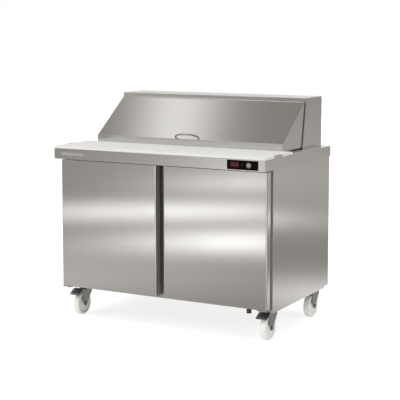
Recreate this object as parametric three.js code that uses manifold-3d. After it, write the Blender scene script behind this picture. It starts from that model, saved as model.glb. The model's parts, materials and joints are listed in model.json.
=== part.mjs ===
// Two-door refrigerated sandwich prep table on casters, in millimetres.
// +Z is up, the doors face -Y, the long side runs along X and the floor is z = 0.
// The origin is the centre of the footprint on the floor.
import * as THREE from 'three';
import { mergeVertices } from 'three/addons/utils/BufferGeometryUtils.js';
import Module from 'manifold-3d';

const wasm = await Module();
wasm.setup();

// ---------------------------------------------------------------- driving dimensions

const HALF_W = 609.5; // half width of the worktop
const FRONT = -400; // front face of the worktop skirt
const REAR = 401; // rear face of the worktop skirt
const STEEL_TOP = 910; // height of the steel worktop
const SKIRT = 54; // height of the folded worktop edge
const SHEET = 1.5; // sheet metal thickness
const GAP = 0.3; // fitting gap between touching pieces

const PANEL_X = 604.5; // outer face of a side panel
const PANEL_FRONT = -298.5; // front edge of a side panel
const PANEL_REAR = 399;
const PANEL_BOTTOM = 150.5;
const PANEL_TOP = 906;
const BASE_Z = 158.2; // underside of the base panel

const INNER_X = 560.5; // inner faces of the refrigerated compartment
const INNER_FRONT = -285;
const INNER_LOW_REAR = 182.3;
const INNER_REAR = 342.3;
const INNER_FLOOR = 215;
const INNER_STEP = 455.5;
const INNER_TOP = 900;
const WALL = 43; // insulation thickness beside the compartment
const BAY_FRONT = 235; // machine bay behind the low part of the compartment
const BAY_TOP = 405;

const WINDOW_X0 = 46; // door openings in the face frame
const WINDOW_X1 = 558;
const WINDOW_Z0 = 217;
const WINDOW_Z1 = 824;

const DOOR_X0 = 21.5; // free edge
const DOOR_X1 = 598; // hinged edge
const DOOR_FRONT = -355.3;
const DOOR_REAR = -314.3;
const DOOR_Z0 = 174;
const DOOR_Z1 = 847.3;
const DOOR_AXIS_X = 584;
const DOOR_AXIS_Y = -335;
const DOOR_PIN_R = 4;

const PAN_PITCH = 178; // six one-third pans side by side
const PAN_Y = 98; // centre of the pan row
const PAN_HALF_X = 80;
const PAN_HALF_Y = 150.5;
const PAN_RIM_X = 88;
const PAN_RIM_Y = 162.5;
const PAN_DEPTH = 150;
const WELL_X = 526.5; // opening in the worktop
const WELL_Y0 = -54;
const WELL_Y1 = 250;

const HOOD_X = 557; // fixed rear hood
const HOOD_TOP = 1173;
const HOOD_REAR = 398;
const HOOD_LOW_FRONT = 153.5;
const HOOD_TOP_FRONT = 199.3;
const FASCIA_BOTTOM = 1154.6;

const LID_X = 550.7; // hinged sloping lid
const LID_LIP_Y = -79;
const LID_BOTTOM = 919;
const LID_LIP_TOP = 957.6;
const LID_TOP_Y = 184;
const LID_TOP_Z = 1148.8;
const LID_AXIS_Y = 189.5;
const LID_AXIS_Z = 1150.5;

const BOARD_REAR = -81;
const BOARD_T = 13.7;
const TAB_Y0 = -293.7; // steel tabs that locate the cutting board
const TAB_Y1 = -203.3;

const CASTER_X = 552; // swivel axes
const CASTER_FRONT_Y = -207;
const CASTER_REAR_Y = 325;
const CASTER_TRAIL = 36;
const WHEEL_R = 62.5;
const WHEEL_HALF_W = 17;

// ---------------------------------------------------------------- solids

const AXES = {
  x: new THREE.Matrix4().makeBasis(
    new THREE.Vector3(0, 1, 0),
    new THREE.Vector3(0, 0, 1),
    new THREE.Vector3(1, 0, 0),
  ),
  y: new THREE.Matrix4().makeBasis(
    new THREE.Vector3(1, 0, 0),
    new THREE.Vector3(0, 0, 1),
    new THREE.Vector3(0, -1, 0),
  ),
  z: new THREE.Matrix4(),
};

function solid(geometry) {
  geometry.deleteAttribute('normal');
  geometry.deleteAttribute('uv');
  const welded = mergeVertices(geometry, 1e-4);
  const mesh = new wasm.Mesh({
    numProp: 3,
    vertProperties: new Float32Array(welded.attributes.position.array),
    triVerts: new Uint32Array(welded.index.array),
  });
  mesh.merge();
  return new wasm.Manifold(mesh);
}

function outline(points) {
  return new THREE.Shape(points.map(([a, b]) => new THREE.Vector2(a, b)));
}

// Rectangle with all four corners rounded.
function roundedRect(a0, a1, b0, b1, r) {
  const s = new THREE.Shape();
  s.moveTo(a0 + r, b0);
  s.lineTo(a1 - r, b0);
  s.absarc(a1 - r, b0 + r, r, -Math.PI / 2, 0);
  s.lineTo(a1, b1 - r);
  s.absarc(a1 - r, b1 - r, r, 0, Math.PI / 2);
  s.lineTo(a0 + r, b1);
  s.absarc(a0 + r, b1 - r, r, Math.PI / 2, Math.PI);
  s.lineTo(a0, b0 + r);
  s.absarc(a0 + r, b0 + r, r, Math.PI, Math.PI * 1.5);
  return s;
}

// Prism of a shape along an axis: (y, z) along x, (x, z) along y, (x, y) along z.
function prism(axis, shape, from, to, options = {}) {
  const bevel = options.bevel ?? 0;
  const geometry = new THREE.ExtrudeGeometry(shape, {
    depth: to - from - 2 * bevel,
    steps: 1,
    curveSegments: options.curve ?? 6,
    bevelEnabled: bevel > 0,
    bevelThickness: bevel,
    bevelSize: bevel,
    bevelOffset: -bevel,
    bevelSegments: options.rings ?? 2,
  });
  geometry.translate(0, 0, bevel);
  geometry.applyMatrix4(AXES[axis]);
  const start = axis === 'y' ? to : from;
  geometry.translate(
    axis === 'x' ? start : 0,
    axis === 'y' ? start : 0,
    axis === 'z' ? start : 0,
  );
  return solid(geometry);
}

function box(x0, x1, y0, y1, z0, z1) {
  return prism('z', outline([[x0, y0], [x1, y0], [x1, y1], [x0, y1]]), z0, z1);
}

// Solid of revolution; the profile is [radius, height] from bottom to top.
function turned(profile, segments) {
  const points = profile.map(([r, h]) => new THREE.Vector2(r, h));
  const geometry = new THREE.LatheGeometry(points, segments);
  geometry.rotateX(Math.PI / 2);
  return solid(geometry);
}

// Cylinder along an axis, centred on the two other coordinates.
function rod(axis, a, b, r, from, to, segments = 20) {
  const cylinder = turned([[0, from], [r, from], [r, to], [0, to]], segments);
  if (axis === 'x') {
    return cylinder.rotate([0, 90, 0]).translate([0, a, b]);
  }
  if (axis === 'y') {
    return cylinder.rotate([-90, 0, 0]).translate([a, 0, b]);
  }
  return cylinder.translate([a, b, 0]);
}

function join(pieces) {
  return pieces.reduce((sum, piece) => sum.add(piece));
}

function cut(body, pieces) {
  return pieces.reduce((rest, piece) => rest.subtract(piece), body);
}

function mirrored(body) {
  return body.mirror([1, 0, 0]);
}

// ---------------------------------------------------------------- materials

const FINISHES = {
  stainless: { color: 0xb9bab6, roughness: 0.32, metalness: 1 },
  stainless_inner: { color: 0xa9aaa8, roughness: 0.45, metalness: 1 },
  zinc_steel: { color: 0x9a9d9f, roughness: 0.4, metalness: 1 },
  polyethylene: { color: 0xe9e8e3, roughness: 0.6, metalness: 0 },
  nylon: { color: 0xdedcd5, roughness: 0.5, metalness: 0 },
  dark_plastic: { color: 0x3f403f, roughness: 0.55, metalness: 0 },
  gloss_black: { color: 0x0b0b0c, roughness: 0.12, metalness: 0 },
  button_grey: { color: 0xc9bfbc, roughness: 0.4, metalness: 0 },
  gasket: { color: 0x55544f, roughness: 0.8, metalness: 0 },
  foam: { color: 0xd8c78c, roughness: 0.95, metalness: 0 },
  fins: { color: 0xb4b6b8, roughness: 0.4, metalness: 1 },
  black_paint: { color: 0x1b1b1c, roughness: 0.5, metalness: 0.1 },
};

const part = new THREE.Group();
part.name = 'sandwich_prep_table';

function add(name, body, finish) {
  const out = body.getMesh();
  const geometry = new THREE.BufferGeometry();
  const positions = new Float32Array(out.vertProperties);
  geometry.setAttribute('position', new THREE.BufferAttribute(positions, 3));
  geometry.setIndex(new THREE.BufferAttribute(new Uint32Array(out.triVerts), 1));
  geometry.computeVertexNormals();
  const material = new THREE.MeshStandardMaterial(FINISHES[finish]);
  material.name = finish;
  const mesh = new THREE.Mesh(geometry, material);
  mesh.name = name;
  part.add(mesh);
}

// ---------------------------------------------------------------- cabinet

function sidePanel() {
  const skin = box(PANEL_X - SHEET, PANEL_X, PANEL_FRONT, PANEL_REAR, PANEL_BOTTOM, PANEL_TOP);
  const frontFold = box(589, PANEL_X, PANEL_FRONT, PANEL_FRONT + SHEET, PANEL_BOTTOM, PANEL_TOP);
  const rearFold = box(589, PANEL_X, PANEL_REAR - SHEET, PANEL_REAR, PANEL_BOTTOM, PANEL_TOP);
  const step = box(580, 620, 347.7, 420, 140, 161);
  return cut(join([skin, frontFold, rearFold]), [step]);
}

function basePanel() {
  const sheet = box(-602.6, 602.6, -296.2, 395.4, BASE_Z, BASE_Z + 2);
  const drainHole = rod('z', 402, -147, 13.4, 150, 170);
  return cut(sheet, [drainHole]);
}

function rearPanel() {
  const sheet = box(-588.5, 588.5, 396, 397.4, 161, PANEL_TOP);
  const slots = [];
  for (let row = 0; row < 8; row += 1) {
    const z = 205 + row * 22;
    for (const x of [-390, -170, 110, 330]) {
      slots.push(box(x - 85, x + 85, 390, 400, z, z + 10));
    }
  }
  slots.push(rod('y', 510, 190, 10.3, 390, 400));
  return cut(sheet, slots);
}

// Outline of the compartment seen from the side, grown outwards by g.
function chamber(g, front, top) {
  return outline([
    [front, INNER_FLOOR - g],
    [INNER_LOW_REAR + g, INNER_FLOOR - g],
    [INNER_LOW_REAR + g, INNER_STEP - g],
    [INNER_REAR + g, INNER_STEP - g],
    [INNER_REAR + g, top],
    [front, top],
  ]);
}

function insulation() {
  const wall = INNER_X + WALL - 0.9;
  const block = box(-wall, wall, -296.2, 395.4, BASE_Z + 2.4, 905);
  const hollow = prism('x', chamber(1.9, -320, 930), -INNER_X - 1.9, INNER_X + 1.9);
  const bay = box(-INNER_X, INNER_X, BAY_FRONT, 420, 140, BAY_TOP);
  const drainHole = rod('z', 402, -147, 13.4, 150, 230);
  return cut(block, [hollow, bay, drainHole]);
}

function linerTub() {
  const outer = prism('x', chamber(SHEET, INNER_FRONT, INNER_TOP), -INNER_X - SHEET, INNER_X + SHEET);
  const inner = box(-INNER_X, INNER_X, -330, 400, INNER_FLOOR, 930);
  const drain = rod('z', 402, -147, 8, 205, 225);
  return cut(outer, [inner, drain]);
}

function linerBack() {
  const x = INNER_X - GAP;
  const low = box(-x, x, INNER_LOW_REAR, INNER_LOW_REAR + SHEET, INNER_FLOOR + GAP, INNER_STEP);
  const step = box(-x, x, INNER_LOW_REAR, INNER_REAR, INNER_STEP - SHEET, INNER_STEP);
  const high = box(-x, x, INNER_REAR, INNER_REAR + SHEET, INNER_STEP - SHEET, INNER_TOP);
  return join([low, step, high]);
}

function faceFrame() {
  const y0 = PANEL_FRONT;
  const y1 = PANEL_FRONT + 2;
  const plate = box(-588.5, 588.5, y0, y1, BASE_Z + 0.3, 905);
  const opening = box(WINDOW_X0, WINDOW_X1, y0 - 5, y1 + 5, WINDOW_Z0, WINDOW_Z1);
  const post = box(-44, 44, y1 - 1, -250, WINDOW_Z0 + 2, 905);
  const channel = box(-42, 42, y1, -240, WINDOW_Z0, 910);
  const frame = cut(plate, [opening, mirrored(opening)]);
  return frame.add(post.subtract(channel));
}

// ---------------------------------------------------------------- worktop and pans

function worktop() {
  const x = HALF_W;
  const low = STEEL_TOP - SKIRT;
  const shell = box(-x, x, FRONT, REAR, low, STEEL_TOP);
  const under = box(-x + SHEET, x - SHEET, FRONT + SHEET, REAR - SHEET, low + SHEET, STEEL_TOP - SHEET);
  const mouth = box(-x + 13, x - 13, FRONT + 13, REAR - 3, low - 5, low + 5);
  const sideMouth = box(-x + SHEET, x - SHEET, -310, REAR - SHEET, low - 5, low + 5);
  const well = prism('z', roundedRect(-WELL_X, WELL_X, WELL_Y0, WELL_Y1, 12), 900, 920);
  const keypadHole = box(412, 565, FRONT - 5, FRONT + 20, 865, 902);
  const tab = prism('x', roundedRect(TAB_Y0, TAB_Y1, low + 20, STEEL_TOP + BOARD_T, 6), x - SHEET, x);
  const body = cut(shell, [under, mouth, sideMouth, well, keypadHole]);
  return join([body, tab, mirrored(tab)]);
}

function panRack() {
  const ring = cut(
    box(-534, 534, WELL_Y0 - 8, WELL_Y1 + 8, 899, STEEL_TOP - SHEET - GAP),
    [box(-WELL_X, WELL_X, WELL_Y0, WELL_Y1, 890, 920)],
  );
  const bars = [-2, -1, 0, 1, 2].map((i) => {
    const x = i * PAN_PITCH;
    return box(x - 5, x + 5, WELL_Y0 - 4, WELL_Y1 + 4, 899, STEEL_TOP - SHEET - GAP);
  });
  return join([ring, ...bars]);
}

function pan() {
  const top = STEEL_TOP + 1.8;
  const low = top - PAN_DEPTH;
  const t = 1.2;
  const body = roundedRect(-PAN_HALF_X, PAN_HALF_X, -PAN_HALF_Y, PAN_HALF_Y, 24);
  const hollow = roundedRect(-PAN_HALF_X + t, PAN_HALF_X - t, -PAN_HALF_Y + t, PAN_HALF_Y - t, 23);
  const rim = roundedRect(-PAN_RIM_X, PAN_RIM_X, -PAN_RIM_Y, PAN_RIM_Y, 14);
  const tub = prism('z', body, low, top + 14, { bevel: 12, curve: 3, rings: 2 });
  const inside = prism('z', hollow, low + t, top + 26, { bevel: 11, curve: 3, rings: 2 });
  const flange = prism('z', rim, STEEL_TOP + GAP, top, { curve: 3 });
  const above = box(-100, 100, -200, 200, top, top + 60);
  return cut(join([tub, flange]), [inside, above]);
}

function cuttingBoard() {
  const x = HALF_W - 0.5;
  const notch = x - 14;
  const z0 = STEEL_TOP + GAP;
  const slab = prism('z', roundedRect(-x, x, FRONT + 0.5, BOARD_REAR, 9), z0, STEEL_TOP + BOARD_T, {
    bevel: 1.6,
    curve: 3,
    rings: 1,
  });
  const relief = prism('z', roundedRect(notch, x + 30, TAB_Y0 - 4, TAB_Y1 + 4, 7), 900, 940, { curve: 3 });
  return cut(slab, [relief, mirrored(relief)]);
}

// ---------------------------------------------------------------- hood and lid

// Y of the sloping front edge of the hood at height z.
function hoodFront(z) {
  const rise = (z - STEEL_TOP) / (HOOD_TOP - STEEL_TOP);
  return HOOD_LOW_FRONT + (HOOD_TOP_FRONT - HOOD_LOW_FRONT) * rise;
}

function hoodShell() {
  const z0 = STEEL_TOP + GAP;
  const outer = prism('x', outline([
    [hoodFront(z0), z0],
    [HOOD_REAR, z0],
    [HOOD_REAR, HOOD_TOP],
    [HOOD_TOP_FRONT, HOOD_TOP],
  ]), -HOOD_X, HOOD_X);
  const t = SHEET;
  const inner = prism('x', outline([
    [hoodFront(z0 - 20) + t, z0 - 20],
    [HOOD_REAR - t, z0 - 20],
    [HOOD_REAR - t, HOOD_TOP - t],
    [hoodFront(HOOD_TOP) + t, HOOD_TOP - t],
  ]), -HOOD_X + t, HOOD_X - t);
  const mouth = box(-HOOD_X + 13, HOOD_X - 13, 100, 260, 800, FASCIA_BOTTOM);
  return cut(outer, [inner, mouth]);
}

function hoodLiner() {
  const x = 540;
  const ceiling = box(-x, x, 203, 272, 1152.6, 1153.8);
  const wall = box(-x, x, 270.8, 272, STEEL_TOP + GAP, 1153.8);
  return ceiling.add(wall);
}

function lidShell() {
  const t = SHEET;
  const back = 3.5;
  const outer = prism('x', outline([
    [LID_LIP_Y, LID_BOTTOM],
    [hoodFront(LID_BOTTOM) - back, LID_BOTTOM],
    [hoodFront(1141) - back, 1141],
    [LID_TOP_Y, LID_TOP_Z],
    [LID_LIP_Y, LID_LIP_TOP],
  ]), -LID_X, LID_X);
  const inner = prism('x', outline([
    [LID_LIP_Y + t, 880],
    [260, 880],
    [260, LID_TOP_Z + 54.4],
    [LID_LIP_Y + t, LID_LIP_TOP - 0.77],
  ]), -LID_X + t, LID_X - t);
  const shell = cut(outer, [inner]);
  const sleeves = [-400, 0, 400].map((x) => rod('x', LID_AXIS_Y, LID_AXIS_Z, 5, x - 60, x + 60, 16));
  const web = outline([[175, 1140.5], [188, 1146.5], [189.5, 1151], [184, 1148.8], [175, 1142.2]]);
  const webs = [-400, 0, 400].map((x) => prism('x', web, x - 60, x + 60));
  const bore = rod('x', LID_AXIS_Y, LID_AXIS_Z, 3.3, -580, 580, 16);
  return cut(join([shell, ...sleeves, ...webs]), [bore]);
}

function lidHinge() {
  const pin = rod('x', LID_AXIS_Y, LID_AXIS_Z, 3, -548, 548, 16);
  const lugs = [-520, -200, 200, 520].map((x) => box(x - 14, x + 14, LID_AXIS_Y, 226, 1148.6, 1152.3));
  return join([pin, ...lugs]);
}

function lidHandle() {
  const slope = new THREE.Vector3(0, LID_TOP_Y - LID_LIP_Y, LID_TOP_Z - LID_LIP_TOP).normalize();
  const normal = new THREE.Vector3(0, -slope.z, slope.y);
  const foot = new THREE.Vector3(0, LID_LIP_Y, LID_LIP_TOP).addScaledVector(slope, 11);
  const at = (x, h) => foot.clone().addScaledVector(normal, h).setX(x);
  const bow = [
    [-68.5, 0.8], [-68, 6], [-60, 14], [-44, 20], [-22, 23],
    [22, 23], [44, 20], [60, 14], [68, 6], [68.5, 0.8],
  ];
  const path = new THREE.CatmullRomCurve3(bow.map(([x, h]) => at(x, h)), false, 'centripetal');
  const section = new THREE.Shape();
  section.absellipse(0, 0, 3.2, 6, 0, Math.PI * 2, false, 0);
  const geometry = new THREE.ExtrudeGeometry(section, {
    extrudePath: path,
    steps: 24,
    curveSegments: 6,
    bevelEnabled: false,
  });
  return solid(geometry);
}

// ---------------------------------------------------------------- controls and small parts

function controllerPanel() {
  const face = prism('y', roundedRect(405, 572, 860.5, 906.5, 2), FRONT - 1, FRONT - GAP, { curve: 3 });
  const body = box(412.5, 564.5, FRONT - 0.6, FRONT + 20, 865.5, 901.5);
  const well = rod('y', 521, 883.5, 11.6, FRONT - 5, FRONT + 6, 28);
  return cut(join([face, body]), [well]);
}

function powerButton() {
  return rod('y', 521, 883.5, 11.3, FRONT - 0.8, FRONT + 3.4, 28);
}

function nameplate() {
  return prism('y', roundedRect(-566, -426, 877, 891, 2), FRONT - 0.8, FRONT - 0.15, { curve: 3 });
}

function drainPipe() {
  const pipe = rod('z', 402, -147, 13, 97, INNER_FLOOR - SHEET - GAP, 24);
  return cut(pipe, [rod('z', 402, -147, 10.5, 90, 230, 24)]);
}

function cableGland() {
  const body = rod('y', 510, 190, 10, 376, 399, 20);
  const nut = rod('y', 510, 190, 15, 397.7, 400.8, 6);
  const throat = rod('y', 510, 190, 6, 370, 410, 16);
  return cut(join([body, nut]), [throat]);
}

// ---------------------------------------------------------------- doors

// All door pieces are drawn for the right door.
function doorSkin() {
  const plan = new THREE.Shape();
  plan.moveTo(DOOR_X0, DOOR_REAR);
  plan.lineTo(DOOR_X0, DOOR_FRONT + 7);
  plan.absarc(DOOR_X0 + 7, DOOR_FRONT + 7, 7, Math.PI, Math.PI * 1.5);
  plan.lineTo(DOOR_X1 - 7, DOOR_FRONT);
  plan.absarc(DOOR_X1 - 7, DOOR_FRONT + 7, 7, Math.PI * 1.5, Math.PI * 2);
  plan.lineTo(DOOR_X1, DOOR_REAR);
  const t = 1.2;
  const hollow = new THREE.Shape();
  hollow.moveTo(DOOR_X0 + t, DOOR_REAR + 5);
  hollow.lineTo(DOOR_X0 + t, DOOR_FRONT + 7);
  hollow.absarc(DOOR_X0 + 7, DOOR_FRONT + 7, 7 - t, Math.PI, Math.PI * 1.5);
  hollow.lineTo(DOOR_X1 - 7, DOOR_FRONT + t);
  hollow.absarc(DOOR_X1 - 7, DOOR_FRONT + 7, 7 - t, Math.PI * 1.5, Math.PI * 2);
  hollow.lineTo(DOOR_X1 - t, DOOR_REAR + 5);
  const outer = prism('z', plan, DOOR_Z0, DOOR_Z1, { curve: 5 });
  const inner = prism('z', hollow, DOOR_Z0 + t, DOOR_Z1 - t, { curve: 5 });
  const edge = box(DOOR_X0 - 5, 46.5, DOOR_FRONT + 7, DOOR_REAR + 5, DOOR_Z0 - 5, DOOR_Z1 + 5);
  const pinHole = rod('z', DOOR_AXIS_X, DOOR_AXIS_Y, DOOR_PIN_R + 0.4, 150, 900);
  return cut(outer, [inner, edge, pinHole]);
}

function doorGrip() {
  const x0 = DOOR_X0 + GAP;
  const plan = outline([
    [x0, -348], [46, -348], [46, -314.6], [43.5, -314.6], [43.5, -334], [x0 + 2.5, -334],
    [x0 + 2.5, -314.6], [x0, -314.6], [x0, -336.5], [39, -336.5], [39, -346.5], [x0, -346.5],
  ]);
  return prism('z', plan, DOOR_Z0 + GAP, DOOR_Z1 - GAP);
}

function doorLiner() {
  const sheet = box(DOOR_X0 + GAP, DOOR_X1 - GAP, -314, -312.5, DOOR_Z0 + GAP, DOOR_Z1 - GAP);
  const bulge = prism('y', roundedRect(64, 536, 238, 802, 14), -320, -300, { curve: 4, bevel: 3, rings: 1 });
  const raised = bulge.intersect(box(0, 600, -314, -290, 200, 850));
  const hollow = prism('y', roundedRect(65.5, 534.5, 239.5, 800.5, 13), -330, -301.5, {
    curve: 4,
    bevel: 2.6,
    rings: 1,
  });
  return cut(join([sheet, raised]), [hollow]);
}

function doorGasket() {
  const outer = prism('y', roundedRect(26, 583.5, 180, 844, 4), -312.2, -298.9, { curve: 3 });
  const inner = prism('y', roundedRect(44, 565.5, 198, 826, 4), -330, -280, { curve: 3 });
  return cut(outer, [inner]);
}

function hingeLower() {
  const shelf = box(545, 600, -351, -299, 167.6, 171.6);
  const leg = box(545, 588, -302, -298.9, 160, 171.6);
  const pin = rod('z', DOOR_AXIS_X, DOOR_AXIS_Y, DOOR_PIN_R, 170, 188, 16);
  return join([shelf, leg, pin]);
}

function hingeUpper() {
  const shelf = box(552, 600, -351, -299, 851.6, 855);
  const leg = box(552, 588, -302, -298.9, 851.6, 882);
  const pin = rod('z', DOOR_AXIS_X, DOOR_AXIS_Y, DOOR_PIN_R, 836, 853, 16);
  return join([shelf, leg, pin]);
}

// ---------------------------------------------------------------- refrigeration

function finPack(x0, x1, y0, y1, z0, z1, count) {
  const pitch = (x1 - x0 - 1.2) / (count - 1);
  const fins = [];
  for (let i = 0; i < count; i += 1) {
    const x = x0 + i * pitch;
    fins.push(box(x, x + 1.2, y0, y1, z0, z1));
  }
  const middle = (y0 + y1) / 2;
  const headers = [z0, z1 - 6].map((z) => box(x0, x1, middle - 8, middle + 8, z, z + 6));
  return join([...fins, ...headers]);
}

function fan(x, z, y0, y1, radius, blades) {
  const middle = (y0 + y1) / 2;
  const pieces = [rod('y', 0, 0, radius * 0.26, y0, y1, 14)];
  for (let i = 0; i < blades; i += 1) {
    const shape = roundedRect(radius * 0.2, radius, -radius * 0.3, radius * 0.3, radius * 0.2);
    const blade = prism('y', shape, -1, 1, { curve: 2 }).rotate([28, 0, 0]);
    pieces.push(blade.translate([0, middle, 0]).rotate([0, (360 / blades) * i, 0]));
  }
  return join(pieces).translate([x, 0, z]);
}

function compressor() {
  const x = 330;
  const y = 314;
  const pot = turned([
    [0, 172], [52, 172], [64, 180], [70, 196], [70, 252], [73, 254], [73, 262], [70, 264],
    [68, 300], [58, 324], [36, 338], [0, 342],
  ], 24).translate([x, y, 0]);
  const foot = prism('z', roundedRect(x - 100, x + 100, y - 62, y + 62, 10), 168, 173);
  const pads = [];
  for (const dx of [-85, 85]) {
    for (const dy of [-48, 48]) {
      pads.push(rod('z', x + dx, y + dy, 10, 160.5, 169, 14));
    }
  }
  const terminals = box(x - 108, x - 66, y - 26, y + 26, 210, 262);
  return join([pot, foot, ...pads, terminals]);
}

// ---------------------------------------------------------------- shelves

function shelf() {
  const x0 = 56;
  const x1 = 556;
  const y0 = -276;
  const y1 = 236;
  const z = 520;
  const wires = [];
  for (const y of [y0, -20, y1]) {
    wires.push(rod('x', y, z - 5, 4, x0, x1, 6));
  }
  for (const x of [x0 + 4, x1 - 4]) {
    wires.push(rod('y', x, z - 5, 4, y0, y1, 6));
  }
  for (let i = 0; i < 9; i += 1) {
    wires.push(rod('y', x0 + 50 + i * 50, z, 2.6, y0 - 2, y1 + 2, 5));
  }
  return join(wires);
}

// ---------------------------------------------------------------- casters

// Caster pieces are drawn with the swivel axis on the origin.
function casterPlate() {
  const plate = prism('z', roundedRect(-42, 42, -50, 50, 8), 154.6, 157.9, { curve: 4 });
  const race = turned([[0, 146], [26, 146], [29, 149], [29, 155], [0, 155]], 20);
  const holes = [];
  for (const x of [-31, 31]) {
    for (const y of [-39, 39]) {
      holes.push(rod('z', x, y, 4.5, 150, 160, 8));
    }
  }
  return cut(plate.add(race), holes);
}

function casterFork() {
  const y = -CASTER_TRAIL;
  const side = outline([
    [y - 27, 123], [y - 22, 108], [y - 14, 62], [y - 10, 52], [y, 48],
    [y + 10, 52], [y + 16, 62], [26, 122], [27, 139], [y - 24, 135.5],
  ]);
  const legs = [prism('x', side, -23.5, -20), prism('x', side, 20, 23.5)];
  const crown = box(-23.5, 23.5, -34, 26, 133, 139);
  const head = turned([[0, 138], [30, 138], [32, 141], [30, 145.6], [0, 145.6]], 20);
  const axle = rod('x', y, WHEEL_R, 6, -26, 26, 16);
  const nuts = [
    rod('x', y, WHEEL_R, 10, -30.5, -23, 6),
    rod('x', y, WHEEL_R, 10, 23, 30.5, 6),
  ];
  const pivotHole = rod('x', y - 20, 129.4, 3.3, -40, 40, 12);
  return cut(join([...legs, crown, head, axle, ...nuts]), [pivotHole]);
}

function casterWheel() {
  const w = WHEEL_HALF_W;
  const profile = [
    [6.4, -18.5], [16, -18.5], [21, -10], [45, -10], [50, -w],
    [57, -w], [61.4, -w + 5], [WHEEL_R, -5], [WHEEL_R, 5], [61.4, w - 5], [57, w],
    [50, w], [45, 10], [21, 10], [16, 18.5], [6.4, 18.5], [6.4, -18.5],
  ];
  return turned(profile, 28).rotate([0, 90, 0]).translate([0, -CASTER_TRAIL, WHEEL_R]);
}

function brakePedal() {
  const y = -CASTER_TRAIL - 20;
  const pin = rod('x', y, 129.4, 3, -23.4, 23.4, 12);
  const barrel = rod('x', y, 129.4, 4.6, -19.5, 19.5, 12);
  const neck = prism('x', outline([
    [y - 24, 134.5], [y - 4, 126], [y + 3.5, 130], [y - 6, 142.5],
  ]), -19.5, 19.5);
  const tread = prism('x', outline([
    [y - 51, 117.5], [y - 47, 121.5], [y - 8, 141.5], [y - 3, 142.5],
    [y - 3, 146.5], [y - 8, 146], [y - 48, 125.6], [y - 53, 120.5],
  ]), -31, 31);
  return join([pin, barrel, neck, tread]);
}

// ---------------------------------------------------------------- assembly

add('side_panel_right', sidePanel(), 'stainless');
add('side_panel_left', mirrored(sidePanel()), 'stainless');
add('rear_panel', rearPanel(), 'stainless_inner');
add('base_panel', basePanel(), 'zinc_steel');
add('cabinet_insulation', insulation(), 'foam');
add('liner_tub', linerTub(), 'stainless_inner');
add('liner_back', linerBack(), 'stainless_inner');
add('face_frame', faceFrame(), 'stainless_inner');
add('worktop', worktop(), 'stainless');
add('pan_rack', panRack(), 'stainless_inner');
for (let i = 0; i < 6; i += 1) {
  add(`pan_${i + 1}`, pan().translate([(i - 2.5) * PAN_PITCH, PAN_Y, 0]), 'stainless_inner');
}
add('cutting_board', cuttingBoard(), 'polyethylene');
add('hood_shell', hoodShell(), 'stainless');
add('hood_liner', hoodLiner(), 'stainless_inner');
add('lid_hinge', lidHinge(), 'zinc_steel');
add('lid_shell', lidShell(), 'stainless');
add('lid_handle', lidHandle(), 'zinc_steel');
add('controller_panel', controllerPanel(), 'gloss_black');
add('power_button', powerButton(), 'button_grey');
add('nameplate', nameplate(), 'stainless_inner');
add('drain_pipe', drainPipe(), 'dark_plastic');
add('cable_gland', cableGland(), 'dark_plastic');

const DOOR_PIECES = [
  ['skin', doorSkin(), 'stainless'],
  ['liner', doorLiner(), 'stainless_inner'],
  ['gasket', doorGasket(), 'gasket'],
  ['grip', doorGrip(), 'dark_plastic'],
];
for (const [piece, body, finish] of DOOR_PIECES) {
  add(`door_right_${piece}`, body, finish);
  add(`door_left_${piece}`, mirrored(body), finish);
}
add('hinge_lower_right', hingeLower(), 'zinc_steel');
add('hinge_lower_left', mirrored(hingeLower()), 'zinc_steel');
add('hinge_upper_right', hingeUpper(), 'zinc_steel');
add('hinge_upper_left', mirrored(hingeUpper()), 'zinc_steel');

add('compressor', compressor(), 'black_paint');
add('condenser', finPack(-410, -190, 345, 385, 172, 388, 15), 'fins');
add('condenser_fan', fan(-300, 280, 300, 334, 92, 5), 'black_paint');
add('evaporator', finPack(-160, 160, 296, 336, 476, 636, 17), 'fins');
add('evaporator_fan', fan(0, 556, 262, 286, 66, 5), 'black_paint');
add('shelf_right', shelf(), 'zinc_steel');
add('shelf_left', mirrored(shelf()), 'zinc_steel');

const CORNERS = [
  ['front_left', -CASTER_X, CASTER_FRONT_Y],
  ['front_right', CASTER_X, CASTER_FRONT_Y],
  ['rear_left', -CASTER_X, CASTER_REAR_Y],
  ['rear_right', CASTER_X, CASTER_REAR_Y],
];
for (const [corner, x, y] of CORNERS) {
  add(`caster_${corner}_plate`, casterPlate().translate([x, y, 0]), 'zinc_steel');
  add(`caster_${corner}_fork`, casterFork().translate([x, y, 0]), 'zinc_steel');
  add(`caster_${corner}_wheel`, casterWheel().translate([x, y, 0]), 'nylon');
}
add('pedal_front_left', brakePedal().translate([-CASTER_X, CASTER_FRONT_Y, 0]), 'zinc_steel');
add('pedal_front_right', brakePedal().translate([CASTER_X, CASTER_FRONT_Y, 0]), 'zinc_steel');

export default part;
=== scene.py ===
# Looks of the refrigerated sandwich prep table. Metres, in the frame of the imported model:
# +Z up, doors facing -Y, origin on the floor under the middle of the table.
import json
import math

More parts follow.
